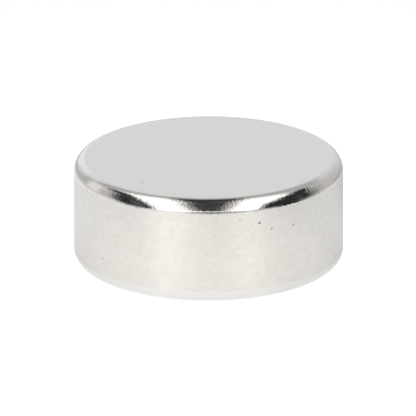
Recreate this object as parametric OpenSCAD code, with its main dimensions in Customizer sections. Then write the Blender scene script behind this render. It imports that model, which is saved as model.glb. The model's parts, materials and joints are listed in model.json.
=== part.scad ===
// Disc magnet: one solid plated disc with a ground side wall,
// flat pole faces and rims rounded by tumbling.
// Z is the axis of the disc, and the origin is the middle of the bottom pole face.

/* [Disc] */
// Diameter across the side wall
disc_d = 25; // [10:0.5:60]
// Thickness from pole face to pole face
disc_h = 10; // [4:0.5:30]

/* [Rims] */
// Radius that rounds the side wall into the top pole face
top_rim_r = 1.25; // [0.1:0.05:1.9]
// Radius that rounds the side wall into the bottom pole face
bottom_rim_r = 1.25; // [0.1:0.05:1.9]

/* [Hidden] */
$fn = 144;
disc_r = disc_d / 2;
nickel = [0.84, 0.83, 0.81];

// Quarter of a round in the corner of the section, drawn about its own centre
module rim_quarter(r) {
    intersection() {
        circle(r);
        square(r);
    }
}

// Half section from the axis out to the side wall, with a rounded corner at each rim
module half_section() {
    // Between the rims, where the side wall stands straight
    translate([0, bottom_rim_r])
        square([disc_r, disc_h - top_rim_r - bottom_rim_r]);

    // Under the top pole face
    translate([0, disc_h - top_rim_r])
        square([disc_r - top_rim_r, top_rim_r]);
    translate([disc_r - top_rim_r, disc_h - top_rim_r])
        rim_quarter(top_rim_r);

    // Over the bottom pole face
    square([disc_r - bottom_rim_r, bottom_rim_r]);
    translate([disc_r - bottom_rim_r, bottom_rim_r])
        mirror([0, 1])
            rim_quarter(bottom_rim_r);
}

// The whole magnet, its section turned about the axis
module magnet() {
    color(nickel)
        rotate_extrude()
            half_section();
}

magnet();
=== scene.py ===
"""Looks of a nickel-plated disc magnet on a pale floor in a soft white studio."""
import json
import math

import bmesh
import bpy
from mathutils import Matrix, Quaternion, Vector

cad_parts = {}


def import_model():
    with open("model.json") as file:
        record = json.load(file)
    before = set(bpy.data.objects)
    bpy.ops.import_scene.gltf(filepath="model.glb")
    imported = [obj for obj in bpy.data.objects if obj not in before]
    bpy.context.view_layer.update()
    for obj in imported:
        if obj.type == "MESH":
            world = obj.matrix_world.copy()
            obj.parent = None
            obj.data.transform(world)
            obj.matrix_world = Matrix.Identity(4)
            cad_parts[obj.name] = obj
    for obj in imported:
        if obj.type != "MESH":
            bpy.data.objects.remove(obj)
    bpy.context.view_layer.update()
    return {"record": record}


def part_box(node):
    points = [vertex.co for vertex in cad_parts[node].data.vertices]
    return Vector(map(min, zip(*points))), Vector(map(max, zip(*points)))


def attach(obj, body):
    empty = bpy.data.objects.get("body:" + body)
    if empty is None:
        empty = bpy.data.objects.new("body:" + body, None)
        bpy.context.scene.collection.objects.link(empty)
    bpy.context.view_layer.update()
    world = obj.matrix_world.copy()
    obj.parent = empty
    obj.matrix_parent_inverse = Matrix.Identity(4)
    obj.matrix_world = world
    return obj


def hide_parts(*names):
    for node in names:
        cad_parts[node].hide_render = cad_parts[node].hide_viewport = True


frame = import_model()

MM = 0.001
CAD_NODE = "magnet"
WHITE = (1, 1, 1, 1)
BLACK = (0, 0, 0, 1)

# Sizes of the disc, from the frame
low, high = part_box(CAD_NODE)
DISC_R = (high.x - low.x) / 2
DISC_H = high.z - low.z
wall_mount = next(m for m in frame["record"]["mounts"] if m["name"] == "outer_wall")
WALL_LENGTH = wall_mount["dims"]["length_mm"] * MM
RIM_R = (DISC_H - WALL_LENGTH) / 2

# Camera: a long lens from the front, fitted to the outline in the photograph.
# The sizes in pixels come from that fit, and PIXEL is what one pixel spans at the disc.
PICTURE_WIDTH_PX = 416
DISC_R_PX = 134.58
AIM_RIGHT_PX = -0.51
AIM_UP_PX = -0.39
PIXEL = DISC_R / DISC_R_PX
CAMERA_ELEVATION = math.radians(19.72)
CAMERA_ROLL = math.radians(0.21)
CAMERA_DISTANCE = 100 * DISC_R
CLIP_START = CAMERA_DISTANCE / 100
CLIP_END = CAMERA_DISTANCE * 4
SENSOR_WIDTH_MM = 36.0

# Mesh of the disc: segments round it, steps along its section, and how far from a rim
# the last ring of each flat lies
SEGMENTS = 360
RIM_STEPS = 24
WALL_STEPS = 32
FACE_STEPS = 12
EDGE_MARGIN = 0.03 * MM

# Pits in the side wall: degrees to the right of the front, height, radius and depth in mm,
# and how dark the middle looks, up to 1
WALL_PITS = [
    (22.1, 7.66, 0.165, 0.060, 0.8),
    (27.9, 6.92, 0.150, 0.035, 0.65),
    (38.6, 6.86, 0.145, 0.026, 0.45),
    (78.6, 7.92, 0.220, 0.045, 0.85),
    (-51.8, 2.81, 0.210, 0.022, 0.4),
    (12.1, 5.36, 0.095, 0.014, 0.45),
    (52.7, 6.98, 0.110, 0.014, 0.5),
    (2.6, 6.68, 0.105, 0.013, 0.4),
    (13.3, 8.20, 0.145, 0.016, 0.33),
    (-30.8, 4.49, 0.105, 0.011, 0.4),
    (24.1, 8.13, 0.075, 0.012, 0.45),
    (16.9, 6.94, 0.075, 0.012, 0.5),
    (-30.8, 5.67, 0.085, 0.010, 0.45),
]
# Pits in the top pole face: x, y, radius and depth in mm, and how dark the middle looks
FACE_PITS = [
    (-6.05, -7.10, 0.185, 0.024, 0.45),
    (-2.80, -4.04, 0.120, 0.012, 0.45),
]
# The mesh is split once within each of these reaches round a pit, in radii of the pit
SPLIT_REACHES = (5, 3.5, 2.2, 1.6)
# Only points nearer to a pit than this, in its radii, are pressed in, and none on the far side
PRESS_REACH = 2


def ring_profile():
    """(radius, height) of each ring of the lathe, from the top face's middle to the bottom's."""
    rings = []
    flat_r = DISC_R - RIM_R
    inner_r = flat_r - EDGE_MARGIN
    top_flat = [(inner_r * i / FACE_STEPS, DISC_H) for i in range(1, FACE_STEPS + 1)]
    rings += top_flat
    for i in range(RIM_STEPS + 1):
        turn = math.pi / 2 * i / RIM_STEPS
        rings.append((flat_r + RIM_R * math.sin(turn), DISC_H - RIM_R + RIM_R * math.cos(turn)))
    wall_top = DISC_H - RIM_R - EDGE_MARGIN
    wall_bottom = RIM_R + EDGE_MARGIN
    for i in range(WALL_STEPS + 1):
        rings.append((DISC_R, wall_top + (wall_bottom - wall_top) * i / WALL_STEPS))
    for i in range(RIM_STEPS + 1):
        turn = math.pi / 2 * i / RIM_STEPS
        rings.append((flat_r + RIM_R * math.cos(turn), RIM_R - RIM_R * math.sin(turn)))
    rings += [(r, 0.0) for r, _ in reversed(top_flat)]
    return rings


def lathe(mesh):
    """Adds the disc's rings to the mesh and joins them with quads, closed at both middles."""
    turns = [math.tau * i / SEGMENTS for i in range(SEGMENTS)]
    rings = [
        [mesh.verts.new((r * math.cos(t), r * math.sin(t), z)) for t in turns]
        for r, z in ring_profile()
    ]
    for upper, lower in zip(rings, rings[1:]):
        for i in range(SEGMENTS):
            j = (i + 1) % SEGMENTS
            mesh.faces.new((upper[i], lower[i], lower[j], upper[j]))
    top = mesh.verts.new((0, 0, DISC_H))
    bottom = mesh.verts.new((0, 0, 0))
    for i in range(SEGMENTS):
        j = (i + 1) % SEGMENTS
        mesh.faces.new((top, rings[0][i], rings[0][j]))
        mesh.faces.new((bottom, rings[-1][j], rings[-1][i]))


def pit_list():
    """Each pit as (centre, outward direction, radius, depth, darkness), sizes in metres."""
    pits = []
    for degrees, height, radius, depth, dark in WALL_PITS:
        turn = math.radians(degrees)
        out = Vector((math.sin(turn), -math.cos(turn), 0))
        centre = out * DISC_R + Vector((0, 0, height * MM))
        pits.append((centre, out, radius * MM, depth * MM, dark))
    for x, y, radius, depth, dark in FACE_PITS:
        centre = Vector((x * MM, y * MM, DISC_H))
        pits.append((centre, Vector((0, 0, 1)), radius * MM, depth * MM, dark))
    return pits


def refine(mesh, centre, reach):
    """Splits the edges within reach of a pit's centre."""
    near = {v for v in mesh.verts if (v.co - centre).length < reach}
    edges = [e for e in mesh.edges if e.verts[0] in near or e.verts[1] in near]
    bmesh.ops.subdivide_edges(mesh, edges=edges, cuts=1, use_grid_fill=True)


def back_on_wall(mesh):
    """Puts the points that splitting left inside the round wall back on it."""
    for v in mesh.verts:
        if RIM_R < v.co.z < DISC_H - RIM_R:
            flat = Vector((v.co.x, v.co.y, 0))
            if flat.length > DISC_R - EDGE_MARGIN:
                flat *= DISC_R / flat.length
                v.co = Vector((flat.x, flat.y, v.co.z))


def press_pits(mesh):
    """Sinks each pit into the surface and writes how dark each point of it is."""
    layer = mesh.verts.layers.float.new("pit")
    for centre, out, radius, depth, dark in pit_list():
        for v in mesh.verts:
            away = v.co - centre
            across = (away - out * away.dot(out)).length
            if away.length < PRESS_REACH * radius and across < radius:
                share = (1 - (across / radius) ** 2) ** 2
                v.co -= out * depth * share
                v[layer] = max(v[layer], share * dark)


def add_object(name, data):
    """A new object that shows data, linked to the scene."""
    made = bpy.data.objects.new(name, data)
    bpy.context.scene.collection.objects.link(made)
    return made


def build_disc():
    """The disc as one dense closed mesh with its pits."""
    mesh = bmesh.new()
    lathe(mesh)
    for centre, _, radius, _, _ in pit_list():
        for reach in SPLIT_REACHES:
            refine(mesh, centre, reach * radius)
    back_on_wall(mesh)
    press_pits(mesh)
    bmesh.ops.recalc_face_normals(mesh, faces=mesh.faces[:])
    data = bpy.data.meshes.new("plated_disc")
    mesh.to_mesh(data)
    mesh.free()
    data.shade_smooth()
    return add_object("plated_disc", data)


def empty_material(name):
    """A new material whose node tree is empty."""
    material = bpy.data.materials.new(name)
    material.use_nodes = True
    material.node_tree.nodes.clear()
    return material


def node(tree, kind, values=None, **settings):
    """Adds a shader node, with its settings and the values or links of its inputs."""
    made = tree.nodes.new("ShaderNode" + kind)
    for name, value in settings.items():
        setattr(made, name, value)
    for name, value in (values or {}).items():
        if isinstance(value, bpy.types.NodeSocket):
            tree.links.new(value, made.inputs[name])
        else:
            made.inputs[name].default_value = value
    return made


def math_node(tree, operation, a, b=0.0):
    """Result of an operation on a and b, or on a alone where it takes one value."""
    return node(tree, "Math", {0: a, 1: b}, operation=operation).outputs[0]


def ramp(tree, value, start, end, low_value=0.0, high_value=1.0):
    """low_value up to start, high_value from end on, and smooth between."""
    made = node(
        tree,
        "MapRange",
        {
            "Value": value,
            "From Min": start,
            "From Max": end,
            "To Min": low_value,
            "To Max": high_value,
        },
        interpolation_type="SMOOTHSTEP",
    )
    return made.outputs["Result"]


def blend_colour(tree, share, a, b):
    """a where share is 0, b where it is 1, and a mix of both between."""
    made = node(tree, "Mix", data_type="RGBA")
    for name, value in (("A", a), ("B", b)):
        socket = next(s for s in made.inputs if s.name == name and s.type == "RGBA")
        if isinstance(value, bpy.types.NodeSocket):
            tree.links.new(value, socket)
        else:
            socket.default_value = value
    tree.links.new(share, made.inputs["Factor"])
    return next(s for s in made.outputs if s.type == "RGBA")


def noise(tree, place, size, detail=2.0, stretch=(1, 1, 1)):
    """Noise with features about size metres long, and longer along an axis with a stretch above 1."""
    scale = tuple(1 / (size * s) for s in stretch)
    moved = node(tree, "Mapping", {"Vector": place, "Scale": scale}).outputs["Vector"]
    made = node(tree, "TexNoise", {"Vector": moved, "Scale": 1.0, "Detail": detail})
    return made.outputs["Fac"]


# Finish of the plate
NICKEL = (0.62, 0.613, 0.6, 1)
WALL_NICKEL = (0.65, 0.645, 0.638, 1)
WALL_WARM = (0.655, 0.642, 0.624, 1)
PIT_TONE = (0.03, 0.028, 0.026, 1)
MIRROR_ROUGHNESS = 0.05
WALL_ROUGHNESS = 0.34
# How strongly the highlights are drawn out along one direction, and the quarter turn that sets it
HIGHLIGHT_STRETCH = 0.4
HIGHLIGHT_TURN = 0.25
# How far the ground wall runs over the rims, over what distance it ends, and how far that end wanders
WALL_REACH = 0.06 * MM
WALL_FADE = 0.03 * MM
EDGE_WOBBLE = 0.04 * MM
NOISE_MIDDLE = 0.5
# How far down the rims the plain finish of the pole faces fades out
RIM_FADE = 0.15 * MM
# Tumbled grain on the rims, and the share of its strength that is left on the faces and the wall
GRAIN_SIZE = 0.25 * MM
GRAIN_HEIGHT = 0.012 * MM
FACE_GRAIN = 0.012
# Ground lines round the wall
LINE_SIZE = 0.12 * MM
LINE_HEIGHT = 0.0012 * MM
LINE_STRETCH = (16, 16, 1)
# Warm patches of the wall, from the noise where they start to where they are full
PATCH_SIZE = 2.2 * MM
PATCH_START = 0.4
PATCH_FULL = 0.62
# Mottle that dims the wall a little
MOTTLE_SIZE = 0.4 * MM
MOTTLE_DETAIL = 5.0
MOTTLE_STRETCH = (1.6, 1.6, 1)
MOTTLE_SHARE = 0.2


def wall_share(tree, height, wobble):
    """1 on the ground wall, which runs a little way over both rims, and 0 beyond it."""
    low_edge = RIM_R - WALL_REACH
    high_edge = DISC_H - RIM_R + WALL_REACH
    place = math_node(tree, "ADD", height, wobble)
    above = ramp(tree, place, low_edge - WALL_FADE, low_edge + WALL_FADE)
    below = ramp(tree, place, high_edge - WALL_FADE, high_edge + WALL_FADE, 1.0, 0.0)
    return math_node(tree, "MULTIPLY", above, below)


def face_share(tree, height):
    """1 on both pole faces, and 0 from a little way down the rims."""
    top = ramp(tree, height, DISC_H - RIM_FADE, DISC_H)
    bottom = ramp(tree, height, 0.0, RIM_FADE, 1.0, 0.0)
    return math_node(tree, "ADD", top, bottom)


def plate_tone(tree, place, wall, pit):
    """Nickel, warmer in patches and a little mottled on the wall, and dark in the pits."""
    patches = ramp(tree, noise(tree, place, PATCH_SIZE), PATCH_START, PATCH_FULL)
    wall_tone = blend_colour(tree, patches, WALL_NICKEL, WALL_WARM)
    mottle = noise(tree, place, MOTTLE_SIZE, MOTTLE_DETAIL, MOTTLE_STRETCH)
    dimming = math_node(tree, "MULTIPLY", mottle, MOTTLE_SHARE)
    dimmed = blend_colour(tree, dimming, wall_tone, BLACK)
    toned = blend_colour(tree, wall, NICKEL, dimmed)
    return blend_colour(tree, pit, toned, PIT_TONE)


def plate_normal(tree, place, wall, face):
    """Fine tumbled grain on the rims, and ground lines round the wall."""
    grain = noise(tree, place, GRAIN_SIZE)
    rim = math_node(tree, "SUBTRACT", 1.0, math_node(tree, "MAXIMUM", wall, face))
    strength = math_node(tree, "MAXIMUM", rim, FACE_GRAIN)
    grain_bump = node(
        tree,
        "Bump",
        {"Height": grain, "Distance": GRAIN_HEIGHT, "Strength": strength},
    ).outputs["Normal"]
    lines = noise(tree, place, LINE_SIZE, stretch=LINE_STRETCH)
    return node(
        tree,
        "Bump",
        {"Height": lines, "Distance": LINE_HEIGHT, "Strength": wall, "Normal": grain_bump},
    ).outputs["Normal"]


def nickel():
    """Bright nickel: near mirror on faces and rims, satin with fine ground lines on the wall."""
    material = empty_material("bright_nickel")
    tree = material.node_tree
    place = node(tree, "TexCoord").outputs["Object"]
    height = node(tree, "SeparateXYZ", {0: place}).outputs["Z"]
    pit = node(tree, "Attribute", attribute_name="pit").outputs["Fac"]
    rough_edge = math_node(tree, "SUBTRACT", noise(tree, place, GRAIN_SIZE), NOISE_MIDDLE)
    wobble = math_node(tree, "MULTIPLY", rough_edge, EDGE_WOBBLE)
    wall = wall_share(tree, height, wobble)
    face = face_share(tree, height)
    roughness = node(
        tree,
        "MapRange",
        {"Value": wall, "To Min": MIRROR_ROUGHNESS, "To Max": WALL_ROUGHNESS},
    ).outputs["Result"]
    tangent = node(tree, "Tangent", direction_type="RADIAL", axis="Z").outputs["Tangent"]
    surface = node(
        tree,
        "BsdfPrincipled",
        {
            "Base Color": plate_tone(tree, place, wall, pit),
            "Metallic": 1.0,
            "Roughness": roughness,
            "Anisotropic": HIGHLIGHT_STRETCH,
            "Anisotropic Rotation": HIGHLIGHT_TURN,
            "Tangent": tangent,
            "Normal": plate_normal(tree, place, wall, face),
        },
    )
    node(tree, "OutputMaterial", {"Surface": surface.outputs[0]})
    return material


# Tones of the studio panels
BOX_WHITE = (1.0, 0.985, 0.96, 1)
BEIGE = (1.0, 0.96, 0.9, 1)
CARD_TONE = (0.95, 0.9, 0.9, 1)

# Mesh steps of a panel, and its streaks: their width in metres, their shape, and the noise from
# which and up to which they brighten
PANEL_STEPS = 32
STREAK_SIZE = 0.045
STREAK_STRETCH = (1, 8, 8)
STREAK_DETAIL = 3.0
STREAK_START = 0.3
STREAK_FULL = 0.7

# Studio panels. Each row is degrees toward the camera, then four edges in degrees to the right,
# all counted from straight overhead as the disc sees it: where the panel starts at the left,
# where it is solid, where it starts to fade again and where it ends.
# Ends: the degrees over which the first and the last row fade.
# Distance: metres from the disc. A nearer panel covers those behind it.
# Streaks: how far its brightness runs up and down in streaks, as a share.
# Lights: whether it lights the floor too.
PANELS = {
    "back_right_card": {
        "rows": [
            (-90, 8, 54, 78, 98), (-60, 6, 60, 80, 94), (-30, 20, 62, 74, 88),
            (-8, 56, 70, 80, 92),
        ],
        "ends": (10, 10), "tone": WHITE, "level": 0.7, "distance": 1.06,
    },
    "back_left_card": {
        "rows": [
            (-90, -60, -42, -36, -20), (-80, -70, -52, -46, -28), (-72, -78, -60, -50, -30),
            (-64, -84, -66, -56, -34), (-56, -84, -70, -56, -34), (-48, -82, -60, -46, -30),
            (-38, -58, -46, -42, -30),
        ],
        "ends": (12, 8), "tone": WHITE, "level": 0.66, "distance": 1.06,
    },
    "back_glow": {
        "rows": [(-90, -34, -24, -14, -5), (-70, -38, -26, -16, -7), (-52, -36, -26, -16, -8)],
        "ends": (10, 10), "tone": WHITE, "level": 1.14, "distance": 1.055,
    },
    "left_glow": {
        "rows": [(-46, -76, -66, -54, -44), (-34, -100, -82, -60, -42), (-17, -84, -74, -62, -50)],
        "ends": (8, 8), "tone": BEIGE, "level": 1.16, "distance": 1.055,
    },
    "left_haze": {
        "rows": [(-26, -100, -88, -56, -48), (-10, -108, -90, -60, -50), (8, -112, -96, -70, -60)],
        "ends": (8, 4), "tone": BEIGE, "level": 0.74, "distance": 1.05,
    },
    "right_haze": {
        "rows": [(-84, 42, 60, 90, 104), (-38, 46, 58, 90, 104), (0, 66, 74, 98, 110)],
        "ends": (8, 4), "tone": BEIGE, "level": 0.78, "distance": 1.05,
    },
    "back_card": {
        "rows": [
            (-66, 0, 3, 8, 14), (-52, -6, 0, 14, 22), (-47, -9, -3, 20, 30),
            (-41, -42, -34, 34, 42), (-35, -48, -40, 38, 46), (-20, -46, -38, 34, 42),
        ],
        "ends": (22, 8), "tone": WHITE, "level": 0.61, "distance": 1.05,
    },
    "front_card": {
        "rows": [(79, -20, -12, 12, 20), (84, -30, -16, 20, 60), (90, -36, -16, 34, 70)],
        "ends": (6, 0.5), "tone": WHITE, "level": 0.5, "distance": 0.99,
    },
    "left_softbox": {
        "rows": [
            (-39, -6, -5.5, -3.5, -3), (-20, -33, -22, -6, -4), (-8, -39, -28, -7, -4),
            (0, -41, -30, -7, -4), (16, -50.5, -31, -8, -5), (32, -57, -32, -8, -5),
            (40, -61, -38, -8, -5), (48, -62, -42, -9, -5), (64, -71, -48, -9, -5),
            (84, -76, -56, -10, -6),
        ],
        "ends": (60, 9), "tone": BOX_WHITE, "level": 2.8, "distance": 1.02, "lights": True,
    },
    "right_softbox": {
        "rows": [
            (-36, 3, 3.5, 5.5, 6), (-20, 4, 6, 18, 28), (-8, 4, 6, 30, 42),
            (0, 4, 7, 29, 44.5), (16, 5, 8, 30, 53), (32, 5, 8, 31, 54),
            (40, 5, 9, 35, 54.5), (48, 5, 9, 38, 58.5), (64, 5, 9, 43, 68),
            (81, 6, 10, 50, 70),
        ],
        "ends": (60, 9), "tone": BOX_WHITE, "level": 2.8, "distance": 1.02, "lights": True,
    },
    "left_card": {
        "rows": [
            (-28, -49, -44, -38, -34), (-15, -58, -40, -34, -28), (-7, -70, -45, -34, -28),
            (0, -102, -52, -34, -28), (8, -117, -63, -33, -27), (16, -118, -79, -33, -26),
            (24, -118, -80, -34, -28), (40, -114, -83, -40, -34), (48, -110, -81, -44, -38),
            (56, -103, -78, -52, -46), (66, -102, -85, -63, -55),
        ],
        "ends": (6, 8), "tone": CARD_TONE, "level": 0.07, "distance": 1.03, "streaks": 0.5,
    },
    "right_shade": {
        "rows": [(-40, 40, 50, 104, 116), (4, 44, 54, 106, 118), (12, 44, 54, 106, 118)],
        "ends": (44, 8), "tone": CARD_TONE, "level": 0.06, "distance": 1.04,
    },
    "right_card": {
        "rows": [
            (-31, 28, 30, 33, 36), (-23, 28, 38, 42, 47), (-13, 27, 42, 51, 61),
            (-6, 29, 50, 66, 78), (-1, 30, 40, 88, 106), (8, 31, 36, 100, 112),
            (20, 34, 40, 102, 114), (34, 38, 44, 100, 112), (48, 42, 50, 92, 105),
            (56, 48, 56, 90, 102), (68, 59, 66, 86, 97),
        ],
        "ends": (8, 10), "tone": CARD_TONE, "level": 0.045, "distance": 1.03, "streaks": 0.4,
    },
    "middle_card": {
        "rows": [
            (-44, -7, -1.5, 1.5, 7), (-32, -10, -3.5, 3.5, 10), (-24, -12.5, -6.5, 6.5, 12.5),
            (-16, -14, -7.5, 7.5, 14), (-8, -18, -5.5, 5.5, 18), (0, -20.5, -5, 7, 20.5),
            (12, -24.5, -6, 6.5, 25), (24, -31.5, -7, 6, 33.5), (48, -37.5, -6.5, 7, 39),
            (79, -43, -5, 7, 42),
        ],
        "ends": (17, 4), "tone": CARD_TONE, "level": 0.08, "distance": 0.98, "streaks": 0.5,
    },
    "left_stand": {
        "rows": [(14, -60, -56, -54, -50), (28, -68, -63, -61, -56), (46, -76, -70, -66, -60)],
        "ends": (5, 5), "tone": WHITE, "level": 0.15, "distance": 0.96,
    },
    "right_stand": {
        "rows": [
            (2, 56, 59, 61, 64), (6, 62, 70, 74, 82), (10, 76, 84, 88, 96),
            (15, 92, 96, 98, 102),
        ],
        "ends": (3, 3), "tone": WHITE, "level": 0.16, "distance": 0.96,
    },
}


def toward(right, front):
    """Direction that lies right and front degrees from straight overhead."""
    tilt = math.radians(math.hypot(right, front))
    turn = math.atan2(right, front)
    return Vector((
        math.sin(tilt) * math.sin(turn),
        -math.sin(tilt) * math.cos(turn),
        math.cos(tilt),
    ))


def edges_at(rows, front):
    """A panel's four edges at front degrees, straight between its rows."""
    for (near, *near_edges), (far, *far_edges) in zip(rows, rows[1:]):
        if front <= far:
            share = (front - near) / (far - near)
            return [a + (b - a) * share for a, b in zip(near_edges, far_edges)]
    return rows[-1][1:]


def panel_mesh(name, rows, ends, distance):
    """Grid of a panel, with how solid it is at each point, as its edges fade out."""
    first, last = rows[0][0], rows[-1][0]
    points, covers = [], []
    for i in range(PANEL_STEPS + 1):
        front = first + (last - first) * i / PANEL_STEPS
        left, solid_left, solid_right, right = edges_at(rows, front)
        for j in range(PANEL_STEPS + 1):
            across = left + (right - left) * j / PANEL_STEPS
            points.append(toward(across, front) * distance)
            covers.append(min(
                1.0,
                (across - left) / (solid_left - left),
                (right - across) / (right - solid_right),
                (front - first) / ends[0],
                (last - front) / ends[1],
            ))
    wide = PANEL_STEPS + 1
    quads = [
        (i * wide + j, i * wide + j + 1, (i + 1) * wide + j + 1, (i + 1) * wide + j)
        for i in range(PANEL_STEPS)
        for j in range(PANEL_STEPS)
    ]
    data = bpy.data.meshes.new(name)
    data.from_pydata(points, [], quads)
    cover = data.attributes.new("cover", "FLOAT", "POINT")
    cover.data.foreach_set("value", covers)
    return data


def panel_material(name, tone, level, streaks):
    """Light of one tone, streaked by a share of its level, that fades out where cover does."""
    material = empty_material(name)
    tree = material.node_tree
    place = node(tree, "TexCoord").outputs["Object"]
    streak = noise(tree, place, STREAK_SIZE, STREAK_DETAIL, STREAK_STRETCH)
    dimmest = level * (1 - streaks)
    brightest = level * (1 + streaks)
    strength = ramp(tree, streak, STREAK_START, STREAK_FULL, dimmest, brightest)
    cover = node(tree, "Attribute", attribute_name="cover").outputs["Fac"]
    light = node(tree, "Emission", {"Color": tone, "Strength": strength})
    clear = node(tree, "BsdfTransparent")
    seen = node(
        tree,
        "MixShader",
        {0: ramp(tree, cover, 0.0, 1.0), 1: clear.outputs[0], 2: light.outputs[0]},
    )
    node(tree, "OutputMaterial", {"Surface": seen.outputs[0]})
    return material


def panel(name, rows, ends, tone, level, distance, streaks=0.0, lights=False):
    """A studio panel that only reflections show, and that lights the floor too where lights is set."""
    data = panel_mesh(name, rows, ends, distance)
    data.materials.append(panel_material(name, tone, level, streaks))
    made = add_object(name, data)
    made.visible_camera = False
    made.visible_shadow = False
    made.visible_diffuse = lights


def studio():
    """All the studio panels."""
    for name, values in PANELS.items():
        panel(name, **values)


# Floor: its size, its matt tone near the disc, and how white the camera sees it at the disc's foot
FLOOR_R = 3.0
FLOOR_SEGMENTS = 96
FLOOR_TONE = (0.25, 0.25, 0.25, 1)
FLOOR_WHITE = 0.85
# The floor near the disc is partly matt and takes its shadow. It loses that between these
# distances from the disc's axis, and the painted light and shade below change over the same distance.
MATT_NEAR = 36 * MM
MATT_FAR = 73 * MM
# Painted floor light that reflections show: a base, what it loses toward the right and gains toward
# the front, and the painted shadows and painted light that the panels leave on it
# (degrees to the right of the front, half width, what it adds near and far)
FLOOR_LIGHT = 0.872
FLOOR_SIDE = 0.047
FLOOR_AHEAD = 0.298
FLOOR_PAINTED_LIGHT_AND_SHADE = [
    (-120, 45, 0.03, 0.11),
    (-62, 26, 0.06, -0.71),
    (-37, 30, 0.08, 0.00),
    (4, 28, -0.01, -0.82),
    (36, 26, 0.05, -0.46),
    (66, 30, 0.09, -0.86),
    (90, 40, -0.02, -0.27),
    (112, 24, 0.05, 0.24),
    (132, 30, -0.15, -0.12),
    (152, 26, -0.33, 0.10),
]
# The disc's own soft shade in that light: a wide part all round, and one at the foot. How deep
# the foot's is in front, how much deeper at the sides, from how far round, and how far out
WIDE_SHADE = 0.085
WIDE_NEAR = 16 * MM
WIDE_FAR = 36 * MM
FOOT_SHADE = 0.09
FOOT_SIDE_SHADE = 0.09
FOOT_START = math.radians(18)
FOOT_FULL = math.radians(42)
FOOT_NEAR = 13 * MM
FOOT_FAR = 18 * MM
# Painted pool of warm light on the floor in front of the disc: its tone, where it lies, how wide it
# is, and the distances from the disc's axis between which it begins
WARM_LIGHT = (1.0, 0.94, 0.85, 1)
WARM_LIGHT_CENTRE = (-4 * MM, -28 * MM, 0)
WARM_LIGHT_R = 52 * MM
WARM_LIGHT_NEAR = 13 * MM
WARM_LIGHT_FULL = 19 * MM


def disc_shade(tree, turn, from_disc):
    """What the disc's own soft shade takes from the floor's light."""
    round_foot = math_node(tree, "ABSOLUTE", turn)
    deepest = FOOT_SHADE + FOOT_SIDE_SHADE
    depth = ramp(tree, round_foot, FOOT_START, FOOT_FULL, FOOT_SHADE, deepest)
    near_foot = ramp(tree, from_disc, FOOT_NEAR, FOOT_FAR, 1.0, 0.0)
    foot = math_node(tree, "MULTIPLY", depth, near_foot)
    wide = ramp(tree, from_disc, WIDE_NEAR, WIDE_FAR, WIDE_SHADE, 0.0)
    return math_node(tree, "ADD", foot, wide)


def painted_floor_light(tree, place, from_disc):
    """How bright the floor looks to reflections at each place, as painted light and painted shade."""
    parts = node(tree, "SeparateXYZ", {0: place}).outputs
    ahead = math_node(tree, "MULTIPLY", parts["Y"], -1.0)
    turn = math_node(tree, "ARCTAN2", parts["X"], ahead)
    side = math_node(tree, "MULTIPLY", math_node(tree, "SINE", turn), FLOOR_SIDE)
    front = math_node(tree, "MULTIPLY", math_node(tree, "COSINE", turn), FLOOR_AHEAD)
    total = math_node(tree, "ADD", math_node(tree, "SUBTRACT", FLOOR_LIGHT, side), front)
    # Painted shadows and painted light of the panels, added to the floor's light
    for degrees, half, near_change, far_change in FLOOR_PAINTED_LIGHT_AND_SHADE:
        past = math_node(tree, "SUBTRACT", turn, math.radians(degrees))
        away = math_node(tree, "ABSOLUTE", past)
        share = ramp(tree, away, 0.0, math.radians(half), 1.0, 0.0)
        change = ramp(tree, from_disc, MATT_NEAR, MATT_FAR, near_change, far_change)
        total = math_node(tree, "ADD", total, math_node(tree, "MULTIPLY", share, change))
    shaded = math_node(tree, "SUBTRACT", total, disc_shade(tree, turn, from_disc))
    return math_node(tree, "MAXIMUM", shaded, 0.0)


def floor_light_tint(tree, place, from_disc):
    """Tone of the floor's light: white, and a painted pool of warm light in front of the disc."""
    from_warm_light = node(
        tree,
        "VectorMath",
        {0: place, 1: WARM_LIGHT_CENTRE},
        operation="DISTANCE",
    ).outputs["Value"]
    warm_pool = ramp(tree, from_warm_light, 0.0, WARM_LIGHT_R, 1.0, 0.0)
    past_foot = ramp(tree, from_disc, WARM_LIGHT_NEAR, WARM_LIGHT_FULL)
    return blend_colour(tree, math_node(tree, "MULTIPLY", warm_pool, past_foot), WHITE, WARM_LIGHT)


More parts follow.
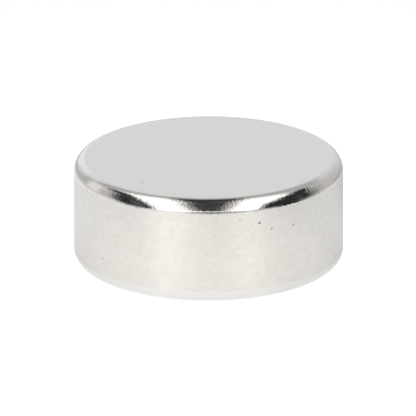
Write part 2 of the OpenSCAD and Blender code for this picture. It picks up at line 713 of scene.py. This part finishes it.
def floor_material():
    """White to the camera, painted light and shade to reflections, and matt where it takes the shadow.
    """
    material = empty_material("floor")
    tree = material.node_tree
    place = node(tree, "TexCoord").outputs["Object"]
    from_disc = node(tree, "VectorMath", {0: place}, operation="LENGTH").outputs["Value"]
    ray = node(tree, "LightPath").outputs
    white = ramp(tree, from_disc, FOOT_FAR, MATT_NEAR, FLOOR_WHITE, 1.0)
    to_camera = math_node(tree, "MULTIPLY", ray["Is Camera Ray"], white)
    reflected = math_node(tree, "MAXIMUM", ray["Is Glossy Ray"], ray["Is Transmission Ray"])
    # What reflections see of the floor is painted light and painted shade
    painted_reflected_light = painted_floor_light(tree, place, from_disc)
    to_reflections = math_node(tree, "MULTIPLY", reflected, painted_reflected_light)
    light = node(
        tree,
        "Emission",
        {
            "Color": floor_light_tint(tree, place, from_disc),
            "Strength": math_node(tree, "ADD", to_camera, to_reflections),
        },
    )
    matt_share = ramp(tree, from_disc, MATT_NEAR, MATT_FAR, 1.0, 0.0)
    matt = node(tree, "BsdfDiffuse", {"Color": blend_colour(tree, matt_share, BLACK, FLOOR_TONE)})
    both = node(tree, "AddShader", {0: light.outputs[0], 1: matt.outputs[0]})
    node(tree, "OutputMaterial", {"Surface": both.outputs[0]})
    return material


def floor():
    """A wide round floor that the disc rests on."""
    mesh = bmesh.new()
    bmesh.ops.create_circle(mesh, cap_ends=True, segments=FLOOR_SEGMENTS, radius=FLOOR_R)
    data = bpy.data.meshes.new("floor")
    mesh.to_mesh(data)
    mesh.free()
    data.materials.append(floor_material())
    add_object("floor", data)


def world():
    """A plain white studio behind the panels."""
    made = bpy.data.worlds.new("white_studio")
    made.use_nodes = True
    tree = made.node_tree
    tree.nodes.clear()
    light = node(tree, "Background", {"Color": WHITE, "Strength": 1.0})
    node(tree, "OutputWorld", {"Surface": light.outputs[0]})
    bpy.context.scene.world = made


def camera():
    """The camera at the photograph's angle, aimed at the middle of the disc."""
    data = bpy.data.cameras.new("camera")
    data.sensor_width = SENSOR_WIDTH_MM
    data.lens = SENSOR_WIDTH_MM * CAMERA_DISTANCE / (PICTURE_WIDTH_PX * PIXEL)
    data.clip_start = CLIP_START
    data.clip_end = CLIP_END
    made = add_object("camera", data)
    back = Vector((0, -math.cos(CAMERA_ELEVATION), math.sin(CAMERA_ELEVATION)))
    upright = (-back).to_track_quat("-Z", "Y")
    turned = Quaternion(back, -CAMERA_ROLL) @ upright
    right = turned @ Vector((1, 0, 0))
    up = turned @ Vector((0, 1, 0))
    aim = Vector((0, 0, DISC_H / 2)) + (right * AIM_RIGHT_PX + up * AIM_UP_PX) * PIXEL
    made.rotation_mode = "QUATERNION"
    made.rotation_quaternion = turned
    made.location = aim + back * CAMERA_DISTANCE
    bpy.context.scene.camera = made


camera()
world()
floor()
studio()
disc = build_disc()
disc.data.materials.append(nickel())
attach(disc, "root")
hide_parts(CAD_NODE)
bpy.context.scene.view_settings.view_transform = "Standard"
